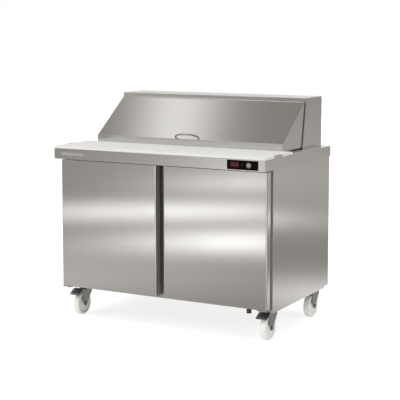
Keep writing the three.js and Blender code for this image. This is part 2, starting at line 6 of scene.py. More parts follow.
import bmesh
import bpy
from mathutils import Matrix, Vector


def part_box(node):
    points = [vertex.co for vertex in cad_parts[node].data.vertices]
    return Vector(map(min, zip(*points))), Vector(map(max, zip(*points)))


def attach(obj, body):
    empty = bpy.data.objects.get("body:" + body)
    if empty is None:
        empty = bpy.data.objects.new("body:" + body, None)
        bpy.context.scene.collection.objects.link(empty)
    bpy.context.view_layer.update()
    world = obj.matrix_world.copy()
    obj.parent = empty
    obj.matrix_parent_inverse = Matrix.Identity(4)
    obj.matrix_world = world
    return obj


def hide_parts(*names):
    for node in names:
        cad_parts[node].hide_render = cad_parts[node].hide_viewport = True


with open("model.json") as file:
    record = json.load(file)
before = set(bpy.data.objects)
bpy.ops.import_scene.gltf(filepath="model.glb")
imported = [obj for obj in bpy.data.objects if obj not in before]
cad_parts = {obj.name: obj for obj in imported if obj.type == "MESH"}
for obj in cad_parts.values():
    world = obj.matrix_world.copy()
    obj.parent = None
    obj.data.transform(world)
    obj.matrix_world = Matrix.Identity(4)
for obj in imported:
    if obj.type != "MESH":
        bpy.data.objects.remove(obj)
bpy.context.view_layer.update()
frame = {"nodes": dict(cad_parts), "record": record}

MM = 0.001
CORNERS = ("front_left", "front_right", "rear_left", "rear_right")
SIDES = ("left", "right")


# ---------------------------------------------------------------- node helpers

def new_material(name):
    material = bpy.data.materials.new(name)
    material.use_nodes = True
    tree = material.node_tree
    return material, tree.nodes, tree.links, tree.nodes["Principled BSDF"]


def math_node(nodes, links, kind, a, b=None, c=None):
    node = nodes.new("ShaderNodeMath")
    node.operation = kind
    for socket, value in zip(node.inputs, (a, b, c)):
        if value is None:
            continue
        if isinstance(value, (int, float)):
            socket.default_value = value
        else:
            links.new(value, socket)
    return node.outputs[0]


def object_coords(nodes, links, scale):
    coords = nodes.new("ShaderNodeTexCoord")
    mapping = nodes.new("ShaderNodeMapping")
    mapping.inputs["Scale"].default_value = scale
    links.new(coords.outputs["Object"], mapping.inputs["Vector"])
    return mapping.outputs["Vector"]


def noise(nodes, links, scale, detail):
    texture = nodes.new("ShaderNodeTexNoise")
    texture.inputs["Scale"].default_value = 1.0
    texture.inputs["Detail"].default_value = detail
    links.new(object_coords(nodes, links, scale), texture.inputs["Vector"])
    return texture.outputs["Fac"]


# Colours over a factor; stops are (place, colour).
def ramp(nodes, links, factor, stops):
    node = nodes.new("ShaderNodeValToRGB")
    elements = node.color_ramp.elements
    while len(elements) < len(stops):
        elements.new(0.5)
    for element, (place, colour) in zip(elements, stops):
        element.position = place
        element.color = (*colour, 1.0)
    links.new(factor, node.inputs["Fac"])
    return node.outputs["Color"]


# Maps the middle range of a noise factor to low and high.
def spread(nodes, links, factor, low, high):
    node = nodes.new("ShaderNodeMapRange")
    node.inputs["From Min"].default_value = 0.3
    node.inputs["From Max"].default_value = 0.7
    node.inputs["To Min"].default_value = low
    node.inputs["To Max"].default_value = high
    links.new(factor, node.inputs["Value"])
    return node.outputs["Result"]


def bump(nodes, links, height, strength, distance, principled):
    node = nodes.new("ShaderNodeBump")
    node.inputs["Strength"].default_value = strength
    node.inputs["Distance"].default_value = distance
    links.new(height, node.inputs["Height"])
    links.new(node.outputs["Normal"], principled.inputs["Normal"])


# ---------------------------------------------------------------- materials

# Noise scale of scratches that run along an axis of the table.
GRAIN = {
    "x": (2.5, 900.0, 900.0),
    "z": (900.0, 900.0, 2.5),
}
# The scratch direction is a little off the axis, so that no face is square to it.
GRAIN_AXIS = {
    "x": (1.0, 0.05, 0.0),
    "z": (0.0, 0.05, 1.0),
}


# Brushed steel whose fine scratches run along one axis of the table. Faces that look up lose
# the given share of their metallic look, so that the lamps light them as matt: painted light that
# makes the top brighter.
def brushed(name, grain, tone, rough, painted_top_light=0.0):
    material, nodes, links, shader = new_material(name)
    streaks = noise(nodes, links, GRAIN[grain], detail=2.0)
    clouds = noise(nodes, links, (3.0, 3.0, 3.0), detail=2.0)
    dark = tuple(c * 0.975 for c in tone)
    light = tuple(c * 1.025 for c in tone)
    links.new(ramp(nodes, links, streaks, [(0.35, dark), (0.65, light)]), shader.inputs["Base Color"])
    roughness = math_node(
        nodes, links, "ADD",
        spread(nodes, links, streaks, rough * 0.9, rough * 1.1),
        spread(nodes, links, clouds, -0.006, 0.006),
    )
    links.new(roughness, shader.inputs["Roughness"])
    shader.inputs["Metallic"].default_value = 1.0
    shader.inputs["Anisotropic"].default_value = 1.0
    surface = nodes.new("ShaderNodeNewGeometry")
    # Painted light: faces that look up are made partly matt, so the lamps brighten the top of the
    # steel.
    if painted_top_light > 0:
        parts = nodes.new("ShaderNodeSeparateXYZ")
        links.new(surface.outputs["Normal"], parts.inputs[0])
        upward = math_node(nodes, links, "MULTIPLY_ADD", parts.outputs["Z"], 10.0, -9.0)
        upward.node.use_clamp = True
        metal = math_node(nodes, links, "MULTIPLY_ADD", upward, -painted_top_light, 1.0)
        links.new(metal, shader.inputs["Metallic"])
    across = nodes.new("ShaderNodeVectorMath")
    across.operation = "CROSS_PRODUCT"
    across.inputs[1].default_value = GRAIN_AXIS[grain]
    links.new(surface.outputs["Normal"], across.inputs[0])
    links.new(across.outputs[0], shader.inputs["Tangent"])
    bump(nodes, links, streaks, 0.02, 0.0001, shader)
    return material


# Plain sheet or bar steel with a faint mottle.
def plain_steel(name, tone, rough):
    material, nodes, links, shader = new_material(name)
    mottle = noise(nodes, links, (60.0, 60.0, 60.0), detail=5.0)
    dark = tuple(c * 0.9 for c in tone)
    links.new(ramp(nodes, links, mottle, [(0.3, dark), (0.7, tone)]), shader.inputs["Base Color"])
    links.new(spread(nodes, links, mottle, rough * 0.8, rough * 1.25), shader.inputs["Roughness"])
    shader.inputs["Metallic"].default_value = 1.0
    bump(nodes, links, mottle, 0.08, 0.0004, shader)
    return material


# Moulded or cast plastic with a fine surface grain; gloss is the strength of its reflection.
def plastic(name, tone, rough, grain=900.0, relief=0.15, gloss=0.5):
    material, nodes, links, shader = new_material(name)
    pebble = noise(nodes, links, (grain, grain, grain), detail=2.0)
    patches = noise(nodes, links, (14.0, 14.0, 14.0), detail=3.0)
    dark = tuple(c * 0.975 for c in tone)
    links.new(ramp(nodes, links, patches, [(0.3, dark), (0.7, tone)]), shader.inputs["Base Color"])
    links.new(spread(nodes, links, patches, rough * 0.92, rough * 1.08), shader.inputs["Roughness"])
    shader.inputs["Specular IOR Level"].default_value = gloss
    bump(nodes, links, pebble, relief, 0.0003, shader)
    return material


# Rigid foam with fine cells.
def foam(name):
    material, nodes, links, shader = new_material(name)
    cells = noise(nodes, links, (350.0, 350.0, 350.0), detail=4.0)
    links.new(
        ramp(nodes, links, cells, [(0.3, (0.52, 0.43, 0.20)), (0.7, (0.72, 0.63, 0.36))]),
        shader.inputs["Base Color"],
    )
    shader.inputs["Roughness"].default_value = 0.95
    bump(nodes, links, cells, 0.6, 0.001, shader)
    return material


# A lit element behind a dark lens.
def glow(name, colour, strength):
    material, nodes, links, shader = new_material(name)
    shader.inputs["Base Color"].default_value = (*(c * 0.06 for c in colour), 1.0)
    shader.inputs["Emission Color"].default_value = (*colour, 1.0)
    shader.inputs["Emission Strength"].default_value = strength
    shader.inputs["Roughness"].default_value = 0.3
    return material


STEEL = (0.615, 0.61, 0.60)
SCRATCH_ROUGHNESS = 0.10
MATERIALS = {
    "steel_x": brushed("brushed_steel_x", "x", STEEL, SCRATCH_ROUGHNESS),
    # The top of the worktop gets painted light: its upward faces are made partly matt and look
    # brighter.
    "steel_top": brushed("brushed_steel_top", "x", STEEL, SCRATCH_ROUGHNESS, painted_top_light=0.75),
    "steel_z": brushed("brushed_steel_z", "z", STEEL, SCRATCH_ROUGHNESS),
    "sheet": plain_steel("sheet_steel", (0.56, 0.56, 0.55), 0.38),
    "zinc": plain_steel("bright_zinc", (0.60, 0.61, 0.62), 0.28),
    "fork": plain_steel("pressed_zinc", (0.37, 0.37, 0.36), 0.34),
    "pan": plain_steel("drawn_steel", (0.74, 0.74, 0.73), 0.30),
    "fins": plain_steel("fin_stock", (0.72, 0.73, 0.74), 0.35),
    "board": plastic("white_polyethylene", (0.61, 0.61, 0.597), 0.5, grain=700.0, relief=0.12),
    "nylon": plastic("white_nylon", (0.71, 0.70, 0.67), 0.38, grain=500.0, relief=0.06),
    "dark": plastic("dark_plastic", (0.05, 0.05, 0.048), 0.5),
    "seal": plastic("door_seal", (0.25, 0.245, 0.225), 0.6),
    "black": plastic("gloss_black", (0.002, 0.002, 0.002), 0.30, relief=0.01, gloss=0.04),
    "enamel": plastic("black_enamel", (0.018, 0.018, 0.019), 0.35, grain=300.0, relief=0.1),
    "button": plastic("button_grey", (0.27, 0.195, 0.19), 0.35, relief=0.03),
    "badge": plastic("satin_badge", (0.27, 0.27, 0.265), 0.4, relief=0.02),
    "foam": foam("rigid_foam"),
    "copper": plain_steel("copper_tube", (0.78, 0.42, 0.28), 0.25),
    "grip": plastic("grip_profile", (0.24, 0.24, 0.235), 0.42, grain=1200.0, relief=0.05),
    "chrome": plain_steel("polished_bar", (0.50, 0.50, 0.49), 0.16),
    "lens": plastic("smoked_lens", (0.010, 0.003, 0.004), 0.25, relief=0.01, gloss=0.06),
    "lamp": glow("lamp_white", (0.80, 0.78, 0.74), 0.25),
    "digits": glow("display_red", (1.0, 0.12, 0.18), 0.14),
    "mark": plastic("alarm_red", (0.05, 0.003, 0.005), 0.4, relief=0.01, gloss=0.1),
}

# Finish of a CAD node by its material slot.
CAD_FINISH = {
    "stainless": "steel_x",
    "stainless_inner": "sheet",
    "zinc_steel": "zinc",
    "polyethylene": "board",
    "nylon": "nylon",
    "dark_plastic": "dark",
    "gloss_black": "black",
    "button_grey": "button",
    "gasket": "seal",
    "foam": "foam",
    "fins": "fins",
    "black_paint": "enamel",
}


SLOT_OF = {s["node"]: s["material_slot"] for s in frame["record"]["subparts"]}
BODY_OF = {
    node: body
    for body, nodes in frame["record"]["behaviour"]["bodies"].items()
    for node in nodes
}


def finish_cad_nodes():
    for name, node in frame["nodes"].items():
        for slot in node.material_slots:
            slot.material = MATERIALS[CAD_FINISH[SLOT_OF[name]]]


# ---------------------------------------------------------------- mesh helpers

SHARP_ANGLE = math.radians(32)
FOLD_ANGLE = math.radians(20)
FLAT_ANGLE = math.radians(0.6)
LARGE_FACE = 0.005
WELD_DISTANCE = 0.00002


# An object from a bmesh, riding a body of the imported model.
def make_object(name, bm, material, body):
    mesh = bpy.data.meshes.new(name)
    bm.to_mesh(mesh)
    bm.free()
    piece = bpy.data.objects.new(name, mesh)
    bpy.context.scene.collection.objects.link(piece)
    mesh.materials.append(MATERIALS[material])
    for polygon in mesh.polygons:
        polygon.use_smooth = True
    mesh.set_sharp_from_angle(angle=SHARP_ANGLE)
    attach(piece, body)
    return piece


# Rounds the edges of a piece and keeps its large faces flat.
def soften(piece, width, segments=2):
    if width > 0:
        bevel = piece.modifiers.new("bevel", "BEVEL")
        bevel.width = width
        bevel.segments = segments
        bevel.limit_method = "ANGLE"
        bevel.angle_limit = SHARP_ANGLE
    level = piece.modifiers.new("flat_faces", "WEIGHTED_NORMAL")
    level.weight = 100
    level.keep_sharp = True
    return piece


# Rounds the outward folds between two large faces, as on bent sheet metal.
def round_folds(bm, radius):
    folds = []
    for edge in bm.edges:
        if len(edge.link_faces) != 2 or not edge.is_convex:
            continue
        if min(face.calc_area() for face in edge.link_faces) < LARGE_FACE:
            continue
        if edge.calc_face_angle() > FOLD_ANGLE:
            folds.append(edge)
    bmesh.ops.bevel(
        bm, geom=folds, offset=radius, offset_type="OFFSET", segments=4, profile=0.5, affect="EDGES",
        clamp_overlap=True,
    )


# A copy of a CAD node with its flat faces made whole and its edges rounded.
def refine(node, material, width, segments=2, fold=0.0):
    source = frame["nodes"][node]
    bm = bmesh.new()
    bm.from_mesh(source.data)
    bm.transform(source.matrix_world)
    bmesh.ops.remove_doubles(bm, verts=bm.verts, dist=WELD_DISTANCE)
    bmesh.ops.dissolve_limit(
        bm, angle_limit=FLAT_ANGLE, verts=bm.verts, edges=bm.edges, use_dissolve_boundaries=False,
    )
    bm.normal_update()
    if fold > 0:
        round_folds(bm, fold)
    piece = make_object(f"{node}_fine", bm, material, BODY_OF[node])
    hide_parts(node)
    return soften(piece, width, segments)


# A new piece from a filled bmesh.
def finish(name, bm, material, body, width=0.0):
    bmesh.ops.recalc_face_normals(bm, faces=bm.faces)
    return soften(make_object(name, bm, material, body), width)


# A new piece in place of the CAD node, on its body.
def replace(node, name, bm, material, width=0.0):
    piece = finish(name, bm, material, BODY_OF[node], width)
    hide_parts(node)


# The point at height h along an axis and at a, b across it.
def at(axis, a, b, h):
    return {"x": Vector((h, a, b)), "y": Vector((a, h, b)), "z": Vector((a, b, h))}[axis]


# Rings with the same number of points, joined in order.
def loft(bm, rings, closed=False):
    rows = [[bm.verts.new(point) for point in ring] for ring in rings]
    following = rows[1:] + rows[:1] if closed else rows[1:]
    for row, after in zip(rows, following):
        for i, corner in enumerate(row):
            j = (i + 1) % len(row)
            bm.faces.new((corner, row[j], after[j], after[i]))
    if not closed:
        bm.faces.new(rows[0])
        bm.faces.new(rows[-1])


# Outline of a rectangle with round corners.
def rounded(a0, a1, b0, b1, radius, steps=6):
    points = []
    corners = (
        (a1 - radius, b0 + radius, -90),
        (a1 - radius, b1 - radius, 0),
        (a0 + radius, b1 - radius, 90),
        (a0 + radius, b0 + radius, 180),
    )
    for a, b, start in corners:
        for i in range(steps + 1):
            turn = math.radians(start + 90.0 * i / steps)
            points.append((a + radius * math.cos(turn), b + radius * math.sin(turn)))
    return points


# An outline drawn out along an axis.
def prism(bm, axis, points, start, end):
    loft(bm, [[at(axis, a, b, h) for a, b in points] for h in (start, end)])


def in_metres(points):
    return [(a * MM, b * MM) for a, b in points]


# A turned shape; the profile is (radius, height) along the axis from the centre.
def lathe(bm, profile, axis, centre, segments=48, closed=False):
    turns = [2.0 * math.pi * i / segments for i in range(segments)]
    rings = []
    for radius, height in profile:
        ring = [at(axis, radius * math.cos(t), radius * math.sin(t), height) for t in turns]
        rings.append([Vector(centre) + point for point in ring])
    loft(bm, rings, closed)


# A bar along a flat path; up is square to the plane of the path, breadth widens the bar that way.
def tube(bm, path, radius, up, sides=10, closed=False, breadth=1.0):
    path = [Vector(point) for point in path]
    up = Vector(up).normalized()
    rings = []
    for i, point in enumerate(path):
        before = path[i - 1] if i or closed else point
        after = path[(i + 1) % len(path)] if i < len(path) - 1 or closed else point
        side = (after - before).normalized().cross(up)
        turns = [2.0 * math.pi * k / sides for k in range(sides)]
        rings.append([
            point + radius * (math.cos(t) * side + breadth * math.sin(t) * up) for t in turns
        ])
    loft(bm, rings, closed)


# A flat path with its corners rounded.
def bent(points, radius, steps=6):
    points = [Vector(point) for point in points]
    path = [points[0]]
    for before, corner, after in zip(points, points[1:], points[2:]):
        reach = min(radius, (before - corner).length / 2, (after - corner).length / 2)
        start = corner + (before - corner).normalized() * reach
        end = corner + (after - corner).normalized() * reach
        for i in range(steps + 1):
            t = i / steps
            path.append(start.lerp(corner, t).lerp(corner.lerp(end, t), t))
    path.append(points[-1])
    return path


def edges_of(node):
    low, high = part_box(node)
    return Vector(low), Vector(high)


def middle(node):
    low, high = edges_of(node)
    return (low + high) / 2


# ---------------------------------------------------------------- camera, light and floor

CAMERA_PLACE = (3.009, -5.434, 1.559)
CAMERA_DOWN = 6.595
CAMERA_TURN = 28.665


def studio_camera():
    data = bpy.data.cameras.new("camera")
    data.sensor_width = 36.0
    data.lens = 106.78
    data.shift_y = -0.1
    camera = bpy.data.objects.new("camera", data)
    camera.location = CAMERA_PLACE
    camera.rotation_euler = (math.radians(90 - CAMERA_DOWN), 0.0, math.radians(CAMERA_TURN))
    bpy.context.scene.collection.objects.link(camera)
    bpy.context.scene.camera = camera


# A matt stage object that gives off white light and is not seen in reflections.
def white_stage(name, bm, tone, strength):
    mesh = bpy.data.meshes.new(name)
    bm.to_mesh(mesh)
    bm.free()
    stage = bpy.data.objects.new(name, mesh)
    bpy.context.scene.collection.objects.link(stage)
    material, nodes, links, shader = new_material(f"{name}_white")
    shader.inputs["Base Color"].default_value = (tone, tone, tone, 1.0)
    shader.inputs["Roughness"].default_value = 1.0
    shader.inputs["Specular IOR Level"].default_value = 0.0
    shader.inputs["Emission Color"].default_value = (1.0, 1.0, 1.0, 1.0)
    shader.inputs["Emission Strength"].default_value = strength
    mesh.materials.append(material)
    stage.visible_glossy = False
    return stage


def studio_floor():
    bm = bmesh.new()
    bmesh.ops.create_circle(bm, cap_ends=True, radius=14.0, segments=64)
    white_stage("floor", bm, 0.36, 0.78)


# A white surround that only the camera sees.
def studio_backdrop():
    bm = bmesh.new()
    bmesh.ops.create_uvsphere(bm, u_segments=32, v_segments=16, radius=16.0)
    backdrop = white_stage("backdrop", bm, 0.0, 1.0)
    backdrop.visible_diffuse = False
    backdrop.visible_shadow = False
    backdrop.visible_transmission = False


# Soft boxes round the room: azimuth from the front towards the left and elevation of the
# middle, half width, half height, all in degrees, and brightness.
SOFT_BOXES = (
    (27.0, -7.75, 2.4, 0.44, 1.45),
    (29.9, -9.06, 6.5, 0.45, 1.8),
    (26.3, -10.54, 5.0, 0.56, 2.1),
    (38.0, -12.2, 12.0, 1.3, 0.4),
    (18.0, -6.0, 9.0, 1.6, 1.2),
    (-149.5, -9.35, 3.0, 0.48, 2.5),
    (-171.6, -13.1, 14.0, 0.9, 1.9),
    (-147.4, -7.5, 14.0, 2.0, 0.30),
    (-157.0, -4.5, 14.0, 2.2, 0.10),
    (-40.0, -9.0, 35.0, 9.0, 0.45),
    (100.0, -9.0, 28.0, 9.0, 1.1),
    (157.0, 5.0, 24.0, 4.5, 0.7),
    (30.0, 38.0, 40.0, 13.0, 0.8),
    (33.5, 14.0, 6.5, 4.0, 0.25),
    (-20.0, -9.0, 22.0, 1.2, 0.5),
    (-70.0, -11.5, 24.0, 1.4, 0.5),
    (-115.0, -10.5, 20.0, 1.0, 0.5),
    (120.0, -10.0, 18.0, 1.4, 0.5),
    (0.0, -20.0, 50.0, 2.0, 0.30),
    (180.0, -20.0, 60.0, 2.5, 0.35),
    (-35.0, -7.0, 12.0, 0.9, 0.9),
    (-30.0, -10.5, 14.0, 0.7, 1.1),
    (145.0, -8.5, 14.0, 1.0, 1.1),
    (150.0, -12.5, 14.0, 1.2, 0.8),
    (20.0, -26.0, 45.0, 3.0, 0.75),
    (-60.0, -27.0, 45.0, 3.5, 0.45),
    (-150.0, -26.0, 45.0, 3.0, 0.65),
    (110.0, -28.0, 45.0, 3.5, 0.45),
    (0.0, -40.0, 400.0, 6.0, 0.35),
    (180.0, 28.0, 70.0, 10.0, 0.7),
    (-140.0, 48.0, 50.0, 8.0, 0.4),
)
# Colour of the room between the soft boxes, and its share straight below.
ROOM = (0.350, 0.330, 0.305)
ROOM_BELOW = 0.18
# The overhead strip: sideways lean of its middle, half width and brightness.
STRIP_LEAN, STRIP_HALF_WIDTH, STRIP_LIGHT = 0.585, 0.048, 0.85


def studio_world():
    world = bpy.data.worlds.new("studio")
    bpy.context.scene.world = world
    world.use_nodes = True
    nodes, links = world.node_tree.nodes, world.node_tree.links
    coords = nodes.new("ShaderNodeTexCoord")
    parts = nodes.new("ShaderNodeSeparateXYZ")
    links.new(coords.outputs["Generated"], parts.inputs[0])
    x, y, z = parts.outputs

    def calc(kind, a, b=None, c=None):
        return math_node(nodes, links, kind, a, b, c)

    elevation = calc("MULTIPLY", calc("ARCSINE", z), math.degrees(1.0))
    left = calc("MULTIPLY", x, -1.0)
    front = calc("MULTIPLY", y, -1.0)
    azimuth = calc("MULTIPLY", calc("ARCTAN2", left, front), math.degrees(1.0))
    light = 0.0
    for heading, height, half_width, half_height, brightness in SOFT_BOXES:
        turn = calc("WRAP", calc("SUBTRACT", azimuth, heading), 180.0, -180.0)
        across = calc("DIVIDE", turn, half_width)
        up = calc("DIVIDE", calc("SUBTRACT", elevation, height), half_height)
        distance = calc("MULTIPLY_ADD", up, up, calc("MULTIPLY", across, across))
        fall = calc("EXPONENT", calc("MULTIPLY", distance, -1.0))
        light = calc("MULTIPLY_ADD", fall, brightness, light)
    # A strip light overhead to the left that runs from front to back.
    lean = calc("DIVIDE", x, calc("MAXIMUM", z, 0.05))
    across = calc("DIVIDE", calc("ADD", lean, STRIP_LEAN), STRIP_HALF_WIDTH)
    fall = calc("EXPONENT", calc("MULTIPLY", calc("MULTIPLY", across, across), -1.0))
    above = calc("MULTIPLY_ADD", z, 3.0, -0.9)
    above.node.use_clamp = True
    light = calc("MULTIPLY_ADD", calc("MULTIPLY", fall, above), STRIP_LIGHT, light)
    colour = nodes.new("ShaderNodeVectorMath")
    colour.operation = "ADD"
    colour.inputs[1].default_value = ROOM
    links.new(light, colour.inputs[0])
    # The room is dark straight below.
    floor_shade = calc("MULTIPLY_ADD", z, 6.0, 5.6)
    floor_shade.node.use_clamp = True
    shaded = nodes.new("ShaderNodeVectorMath")
    shaded.operation = "SCALE"
    links.new(colour.outputs[0], shaded.inputs[0])
    links.new(calc("MAXIMUM", floor_shade, ROOM_BELOW), shaded.inputs["Scale"])
    background = nodes["Background"]
    links.new(shaded.outputs[0], background.inputs["Color"])
    background.inputs["Strength"].default_value = 1.0


# A distant soft light; its tilt, turn and spread are in degrees.
def sun_light(name, tilt, turn, spread_angle, power):
    data = bpy.data.lights.new(name, "SUN")
    data.angle = math.radians(spread_angle)
    data.energy = power
    light = bpy.data.objects.new(name, data)
    light.rotation_euler = (math.radians(tilt), 0.0, math.radians(turn))
    light.visible_glossy = False
    bpy.context.scene.collection.objects.link(light)


def studio():
    studio_camera()
    studio_world()
    studio_floor()
    studio_backdrop()
    sun_light("top_light", 6.0, -20.0, 80.0, 1.7)
    sun_light("front_light", 66.0, -30.0, 60.0, 1.5)
    sun_light("right_light", 58.0, 80.0, 30.0, 0.8)
    bpy.context.scene.view_settings.view_transform = "Standard"


# ---------------------------------------------------------------- assembly

def refine_cad_nodes():
    for side in SIDES:
        refine(f"side_panel_{side}", "steel_z", 0.5 * MM)
        refine(f"door_{side}_skin", "steel_z", 0.5 * MM, fold=4.5 * MM)
        refine(f"door_{side}_grip", "grip", 0.5 * MM)
        refine(f"door_{side}_liner", "sheet", 1.0 * MM)
        refine(f"hinge_lower_{side}", "zinc", 0.5 * MM)
        refine(f"hinge_upper_{side}", "zinc", 0.5 * MM)
    refine("worktop", "steel_top", 0.6 * MM, fold=2.5 * MM)
    refine("hood_shell", "steel_x", 0.6 * MM, fold=2.2 * MM)
    refine("lid_shell", "steel_x", 0.5 * MM, fold=2.0 * MM)
    refine("cutting_board", "board", 0.5 * MM)
    refine("rear_panel", "sheet", 0.3 * MM)
    refine("base_panel", "zinc", 0.4 * MM)
    refine("face_frame", "sheet", 0.5 * MM)
    refine("liner_tub", "sheet", 0.6 * MM)
    refine("liner_back", "sheet", 0.4 * MM)
    refine("hood_liner", "sheet", 0.4 * MM)
    refine("pan_rack", "sheet", 0.5 * MM)
    refine("lid_hinge", "zinc", 0.4 * MM)
    refine("nameplate", "badge", 0.2 * MM)
    refine("drain_pipe", "dark", 0.8 * MM)
    refine("cable_gland", "dark", 0.6 * MM)
    refine("compressor", "enamel", 1.2 * MM)
    refine("condenser", "fins", 0.2 * MM, segments=1)
    refine("evaporator", "fins", 0.2 * MM, segments=1)
    refine("condenser_fan", "enamel", 0.4 * MM)
    refine("evaporator_fan", "enamel", 0.4 * MM)


# ---------------------------------------------------------------- doors

# Section of the magnetic seal in mm: distance in from its outer edge, distance from its front.
GASKET_SECTION = (
    (0.0, 0.0), (0.0, 3.0), (2.6, 4.6), (2.6, 5.8), (0.0, 7.4), (0.0, 11.0), (1.4, 12.7), (5.0, 13.3),
    (8.2, 13.3), (9.0, 12.5), (9.8, 13.3), (13.0, 13.3), (16.6, 12.7), (18.0, 11.0), (18.0, 7.4),
    (15.4, 5.8), (15.4, 4.6), (18.0, 3.0), (18.0, 0.0),
)


def door_seal(side):
    node = f"door_{side}_gasket"
    low, high = edges_of(node)
    bm = bmesh.new()
    rings = []
    for inset, height in GASKET_SECTION:
        d = inset * MM
        points = rounded(low.x + d, high.x - d, low.z + d, high.z - d, 4 * MM, steps=4)
        rings.append([at("y", a, b, low.y + height * MM) for a, b in points])
    loft(bm, rings, closed=True)
    replace(node, f"{node}_bellows", bm, "seal")


EDGE_STRIP_FOOT = 172 * MM
EDGE_STRIP_TOP = 852 * MM
EDGE_STRIP_THICK = 0.8 * MM


# Grey strips on the front edges of the side panels, behind the hinged edges of the doors.
def edge_strips():
    frame_low, frame_high = edges_of("face_frame")
    for side in SIDES:
        low, high = edges_of(f"side_panel_{side}")
        left, right = (frame_high.x, high.x) if side == "right" else (low.x, frame_low.x)
        front = low.y - EDGE_STRIP_THICK
        bm = bmesh.new()
        points = [(left, front), (right, front), (right, low.y), (left, low.y)]
        prism(bm, "z", points, EDGE_STRIP_FOOT, EDGE_STRIP_TOP)
        finish(f"edge_strip_{side}", bm, "seal", "cabinet", 0.3 * MM)


# Strip that closes the gap between the front frame and the lining, on both sides and below.
def breaker_strip():
    low, high = edges_of("liner_tub")
    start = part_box("face_frame")[0][1] + 2.1 * MM
    end = low.y - 0.1 * MM
    out = 0.3 * MM
    wall = 1.5 * MM
    points = [
        (low.x - out, high.z), (low.x - out, low.z - out),
        (high.x + out, low.z - out), (high.x + out, high.z),
        (high.x - wall, high.z), (high.x - wall, low.z + wall),
        (low.x + wall, low.z + wall), (low.x + wall, high.z),
    ]
    bm = bmesh.new()
    prism(bm, "y", points, start, end)
    finish("breaker_strip", bm, "seal", "cabinet")


# ---------------------------------------------------------------- worktop fittings

# Strokes of a seven-segment digit: left, low, right and high end in the units of its cell.
SEGMENTS = (
    (0.12, 0.00, 0.88, 0.10),
    (0.12, 0.45, 0.88, 0.55),
    (0.12, 0.90, 0.88, 1.00),
    (0.00, 0.06, 0.16, 0.47),
    (0.00, 0.53, 0.16, 0.94),
    (0.84, 0.06, 1.00, 0.47),
    (0.84, 0.53, 1.00, 0.94),
)


DIGIT_WIDTH = 11 * MM
DIGIT_HEIGHT = 20 * MM


# The front of the panel is set back a little inside its rim.
def controller_face(low, high, face):
    outline = rounded(low.x, high.x, low.z, high.z, 2 * MM)
    rim = 1.6 * MM
    inset = rounded(low.x + rim, high.x - rim, low.z + rim, high.z - rim, 1.2 * MM)
    body = rounded(low.x + 7.5 * MM, high.x - 7.5 * MM, low.z + 5 * MM, high.z - 5 * MM, 0.6 * MM)
    step = low.y + 0.15 * MM
    rear = low.y + 0.7 * MM
    places = (
        (inset, face), (inset, step), (outline, step),
        (outline, rear), (body, rear), (body, low.y + 20 * MM),
    )
    bm = bmesh.new()
    loft(bm, [[at("y", a, b, y) for a, b in points] for points, y in places])
    replace("controller_panel", "controller_face", bm, "black", 0.12 * MM)


def display(low, high, face):
    window = bmesh.new()
    points = rounded(low.x + 14 * MM, low.x + 68 * MM, low.z + 10 * MM, high.z - 8 * MM, 2 * MM)
    prism(window, "y", points, face - 0.12 * MM, face + 0.5 * MM)
    finish("display_window", window, "lens", "cabinet", 0.05 * MM)
    digits = bmesh.new()
    foot = low.z + 15 * MM
    for i in range(3):
        left = low.x + (20 + i * 15) * MM
        for a0, b0, a1, b1 in SEGMENTS:
            points = rounded(
                left + a0 * DIGIT_WIDTH, left + a1 * DIGIT_WIDTH,
                foot + b0 * DIGIT_HEIGHT, foot + b1 * DIGIT_HEIGHT, 0.5 * MM, 3,
            )
            prism(digits, "y", points, face - 0.22 * MM, face)
    finish("display_digits", digits, "digits", "cabinet")


# A small round lamp that stands 0.3 mm proud.
def lamp(name, material, radius, place, segments):
    bm = bmesh.new()
    profile = ((radius, 0.0), (radius, -0.2 * MM), (radius - 0.6 * MM, -0.3 * MM))
    lathe(bm, profile, "y", place, segments)
    finish(name, bm, material, "cabinet")


def controller():
    low, high = edges_of("controller_panel")
    face = low.y + 0.4 * MM
    button_place = middle("power_button")
    controller_face(low, high, face)
    display(low, high, face)
    lamp("status_lamp", "lamp", 1.6 * MM, (low.x + 79.5 * MM, face, button_place.z), 20)
    lamp("alarm_lamp", "mark", 3.0 * MM, (high.x - 22 * MM, face, button_place.z), 24)
    ring = bmesh.new()
    profile = (
        (11.6 * MM, 0.1 * MM), (11.6 * MM, -0.35 * MM),
        (12.6 * MM, -0.35 * MM), (12.9 * MM, 0.1 * MM),
    )
    lathe(ring, profile, "y", (button_place.x, face, button_place.z), 48, closed=True)
    finish("button_ring", ring, "zinc", "cabinet")


# A flat cap with a groove near its edge.
def button():
    low, high = edges_of("power_button")
    centre = middle("power_button")
    radius = (high.x - low.x) / 2
    shallow = low.y + 0.1 * MM
    deep = low.y + 0.5 * MM
    profile = (
        (0.40, low.y), (0.76, shallow), (0.80, deep), (0.84, deep),
        (0.88, shallow), (0.96, shallow), (1.0, deep), (1.0, high.y),
    )
    bm = bmesh.new()
    lathe(bm, [(radius * share, y) for share, y in profile], "y", (centre.x, 0.0, centre.z))
    replace("power_button", "power_button_cap", bm, "button")


# ---------------------------------------------------------------- lid

# Direction of the lid's sloping face and the height at which it starts, above the front lip.
LID_SLOPE = Vector((0.0, 263.0, 191.2)).normalized()
LID_FACE_FOOT = 957.6 * MM
# Half of the bow: share of its half width, and height in mm above the lid's face.
BOW = ((1.0, 0.1), (1.0, 8.0), (0.72, 18.5), (0.35, 22.5))
BOW_TOP = (0.0, 23.2)


